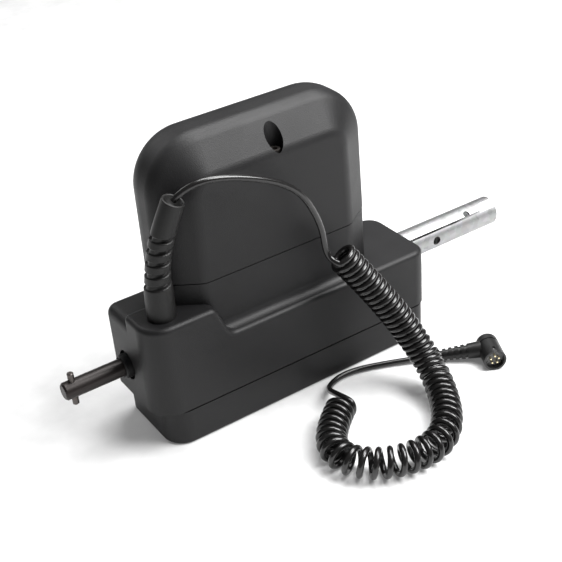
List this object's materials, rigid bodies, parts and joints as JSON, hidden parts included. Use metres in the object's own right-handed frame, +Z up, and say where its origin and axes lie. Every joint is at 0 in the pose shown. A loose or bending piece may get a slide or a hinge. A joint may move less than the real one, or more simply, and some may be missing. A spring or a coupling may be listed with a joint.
{
  "type": "linear actuator",
  "caption": "Electric linear actuator for an adjustable bed, with a thrust tube, a crank stub and a curly control cord.",
  "frame": {"origin": "on the flat underside of the base, straight below the spindle axis, where the motor hood's left third begins", "axes": "+X along the spindle towards the thrust tube, +Z up from the base, -Y towards the side with the cord outlet"},
  "size_m": [0.413, 0.2122, 0.2335],
  "materials": {
    "shell": "fine textured black moulding",
    "gland_rubber": "satin black",
    "cord_jacket": "glossy black",
    "plug_plastic": "satin black",
    "plug_insert": "grey",
    "contact_brass": "bright",
    "zinc_tube": "galvanised",
    "black_steel": "oxidised black steel",
    "pin_steel": "dull",
    "bearing_steel": "ground",
    "screw_steel": "zinc plated",
    "bronze": "machined",
    "cast_alloy": "as cast",
    "motor_steel": "passivated",
    "motor_cap": "moulded",
    "nylon": "natural",
    "board": "solder mask",
    "relay": "moulded",
    "capacitor": "sleeved",
    "switch": "moulded"
  },
  "bodies": {
    "housing": {"upper_housing": "shell", "base_cover": "shell", "hood": "shell", "hood_screw": "screw_steel", "base_screws": "screw_steel", "gear_case": "cast_alloy", "rear_bearing": "bearing_steel", "front_bearing": "bearing_steel", "motor_can": "motor_steel", "motor_end_cap": "motor_cap", "motor_screws": "screw_steel", "shaft_collar": "shell", "tube_guide_bush": "nylon", "wiper_ring": "gland_rubber", "circuit_board": "board", "motor_relays": "relay", "smoothing_capacitor": "capacitor", "terminal_block": "relay", "board_posts": "shell", "switch_rail": "nylon", "limit_switches": "switch", "cord_gland": "gland_rubber", "upper_cord": "cord_jacket", "curly_cord": "cord_jacket", "lower_cord": "cord_jacket", "plug_relief": "gland_rubber", "plug_body": "plug_plastic", "plug_face": "plug_insert", "plug_pins": "contact_brass"},
    "rotor": {"motor_rotor": "motor_steel"},
    "spindle": {"lead_screw": "black_steel", "worm_wheel": "bronze", "crank_pin": "pin_steel"},
    "tube": {"thrust_tube": "zinc_tube", "drive_nut": "nylon", "nut_pin": "pin_steel"}
  },
  "joints": [
    {"name": "tube_extend", "type": "slide", "parent": "housing", "child": "tube", "axis": [1, 0, 0], "range_m": [0, 0.1]},
    {"name": "spindle_turn", "type": "hinge", "parent": "housing", "child": "spindle", "pos_m": [-0.03, 0, 0.0593], "axis": [1, 0, 0], "range_deg": [0, 7200.5]},
    {"name": "motor_turn", "type": "hinge", "parent": "housing", "child": "rotor", "pos_m": [-0.03, -0.015, 0.12], "axis": [0, 0, 1], "continuous": true}
  ],
  "couplings": [
    {"joint": "spindle_turn", "follows": "tube_extend", "rad_per_m": 1256.6}
  ]
}
